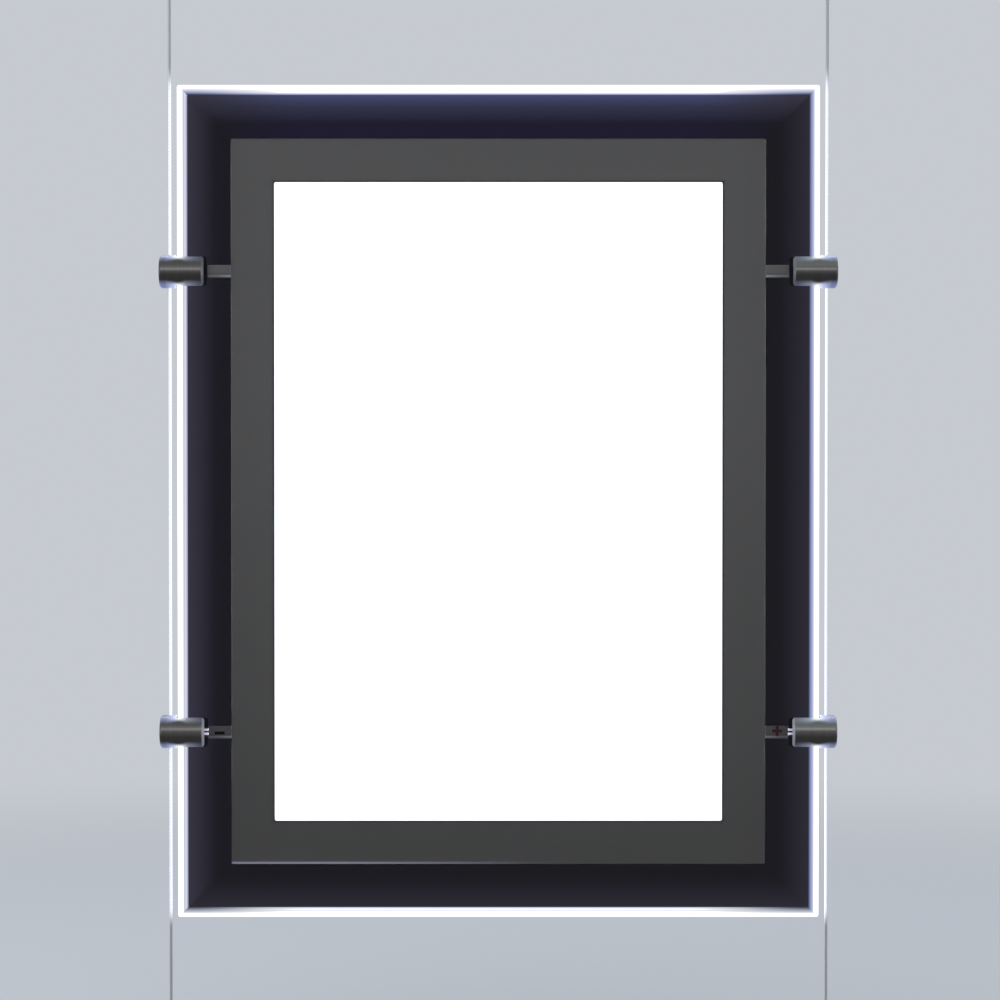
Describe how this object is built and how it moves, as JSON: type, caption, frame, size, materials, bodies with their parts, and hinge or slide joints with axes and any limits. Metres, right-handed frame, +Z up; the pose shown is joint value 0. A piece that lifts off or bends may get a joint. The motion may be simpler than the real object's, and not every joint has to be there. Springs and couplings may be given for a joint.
{
  "type": "hanging illuminated poster display",
  "caption": "Lit poster display of clear bevelled acrylic, clamped between two taut vertical steel cables with ceiling and floor fixings",
  "frame": {"origin": "on the ceiling plane, midway between the two ceiling fixings", "axes": "+Z up along the cables, +X to the viewer's right, +Y away from the viewer; the poster faces -Y"},
  "size_m": [0.3238, 0.024, 0.539],
  "materials": {
    "satin_nickel": "satin nickel plate on turned brass",
    "plated_brass": "bright plated",
    "steel_rope": "stranded",
    "smoke_acrylic": "cast acrylic with a smoke tint, polished bevels",
    "clear_acrylic": "clear cast acrylic",
    "bright_nickel": "bright nickel plate",
    "reflector_film": "white reflector film",
    "light_guide": "acrylic with a light-scattering back",
    "opal_film": "opal diffuser film",
    "poster_paper": "plain white backlit sheet",
    "white_board": "white solder mask",
    "ribbon_film": "flat flexible ribbon",
    "border_grey": "dark grey, satin",
    "black_rubber": "matt",
    "dark_steel": "blackened",
    "wire_insulation": "black insulation"
  },
  "bodies": {
    "room_fixings": {"ceiling_base_left": "satin_nickel", "ceiling_cap_left": "satin_nickel", "upper_cable_stop_left": "plated_brass", "cable_left": "steel_rope", "lower_cable_stop_left": "plated_brass", "floor_base_left": "satin_nickel", "ceiling_base_right": "satin_nickel", "ceiling_cap_right": "satin_nickel", "upper_cable_stop_right": "plated_brass", "cable_right": "steel_rope", "lower_cable_stop_right": "plated_brass", "floor_base_right": "satin_nickel"},
    "display": {"base_panel": "smoke_acrylic", "reflector_sheet": "reflector_film", "light_guide": "light_guide", "diffuser_sheet": "opal_film", "poster_sheet": "poster_paper", "led_board_left": "white_board", "led_board_right": "white_board", "link_ribbon": "ribbon_film", "duct_cover_upper_left": "border_grey", "clamp_barrel_upper_left": "satin_nickel", "clamp_liner_upper_left": "black_rubber", "base_magnet_upper_left": "bright_nickel", "duct_cover_upper_right": "border_grey", "clamp_barrel_upper_right": "satin_nickel", "clamp_liner_upper_right": "black_rubber", "base_magnet_upper_right": "bright_nickel", "duct_cover_lower_left": "border_grey", "clamp_barrel_lower_left": "satin_nickel", "clamp_liner_lower_left": "black_rubber", "base_magnet_lower_left": "bright_nickel", "duct_cover_lower_right": "border_grey", "clamp_barrel_lower_right": "satin_nickel", "clamp_liner_lower_right": "black_rubber", "base_magnet_lower_right": "bright_nickel", "contact_pin_left": "bright_nickel", "contact_terminal_left": "plated_brass", "feed_wire_left": "wire_insulation", "contact_pin_right": "bright_nickel", "contact_terminal_right": "plated_brass", "feed_wire_right": "wire_insulation"},
    "cover": {"cover_plate": "clear_acrylic", "border_film": "border_grey", "cover_magnet_upper_left": "bright_nickel", "cover_magnet_upper_right": "bright_nickel", "cover_magnet_lower_left": "bright_nickel", "cover_magnet_lower_right": "bright_nickel"},
    "tension_left": {"tension_barrel_left": "satin_nickel"},
    "tension_right": {"tension_barrel_right": "satin_nickel"},
    "cable_lock_upper_left": {"cable_lock_screw_upper_left": "dark_steel"},
    "panel_lock_upper_left": {"panel_lock_screw_upper_left": "dark_steel"},
    "cable_lock_upper_right": {"cable_lock_screw_upper_right": "dark_steel"},
    "panel_lock_upper_right": {"panel_lock_screw_upper_right": "dark_steel"},
    "cable_lock_lower_left": {"cable_lock_screw_lower_left": "dark_steel"},
    "panel_lock_lower_left": {"panel_lock_screw_lower_left": "dark_steel"},
    "cable_lock_lower_right": {"cable_lock_screw_lower_right": "dark_steel"},
    "panel_lock_lower_right": {"panel_lock_screw_lower_right": "dark_steel"}
  },
  "joints": [
    {"name": "display_height", "type": "slide", "parent": "room_fixings", "child": "display", "axis": [0, 0, 1], "range_m": [-0.035, 0.035]},
    {"name": "cover_pull", "type": "slide", "parent": "display", "child": "cover", "axis": [0, -1, 0], "range_m": [0, 0.05]},
    {"name": "tension_turn_left", "type": "hinge", "parent": "room_fixings", "child": "tension_left", "pos_m": [-0.1499, 0, -0.539], "axis": [0, 0, 1], "range_deg": [0, 720]},
    {"name": "tension_turn_right", "type": "hinge", "parent": "room_fixings", "child": "tension_right", "pos_m": [0.1499, 0, -0.539], "axis": [0, 0, 1], "range_deg": [0, 720]},
    {"name": "cable_lock_turn_upper_left", "type": "hinge", "parent": "display", "child": "cable_lock_upper_left", "pos_m": [-0.15095, 0, -0.157], "axis": [-1, 0, 0], "range_deg": [0, 720]},
    {"name": "panel_lock_turn_upper_left", "type": "hinge", "parent": "display", "child": "panel_lock_upper_left", "pos_m": [-0.1406, 0.0036, -0.157], "axis": [0, 1, 0], "range_deg": [0, 720]},
    {"name": "cable_lock_turn_upper_right", "type": "hinge", "parent": "display", "child": "cable_lock_upper_right", "pos_m": [0.15095, 0, -0.157], "axis": [1, 0, 0], "range_deg": [0, 720]},
    {"name": "panel_lock_turn_upper_right", "type": "hinge", "parent": "display", "child": "panel_lock_upper_right", "pos_m": [0.1406, 0.0036, -0.157], "axis": [0, 1, 0], "range_deg": [0, 720]},
    {"name": "cable_lock_turn_lower_left", "type": "hinge", "parent": "display", "child": "cable_lock_lower_left", "pos_m": [-0.15095, 0, -0.367], "axis": [-1, 0, 0], "range_deg": [0, 720]},
    {"name": "panel_lock_turn_lower_left", "type": "hinge", "parent": "display", "child": "panel_lock_lower_left", "pos_m": [-0.1406, 0.0036, -0.367], "axis": [0, 1, 0], "range_deg": [0, 720]},
    {"name": "cable_lock_turn_lower_right", "type": "hinge", "parent": "display", "child": "cable_lock_lower_right", "pos_m": [0.15095, 0, -0.367], "axis": [1, 0, 0], "range_deg": [0, 720]},
    {"name": "panel_lock_turn_lower_right", "type": "hinge", "parent": "display", "child": "panel_lock_lower_right", "pos_m": [0.1406, 0.0036, -0.367], "axis": [0, 1, 0], "range_deg": [0, 720]}
  ]
}
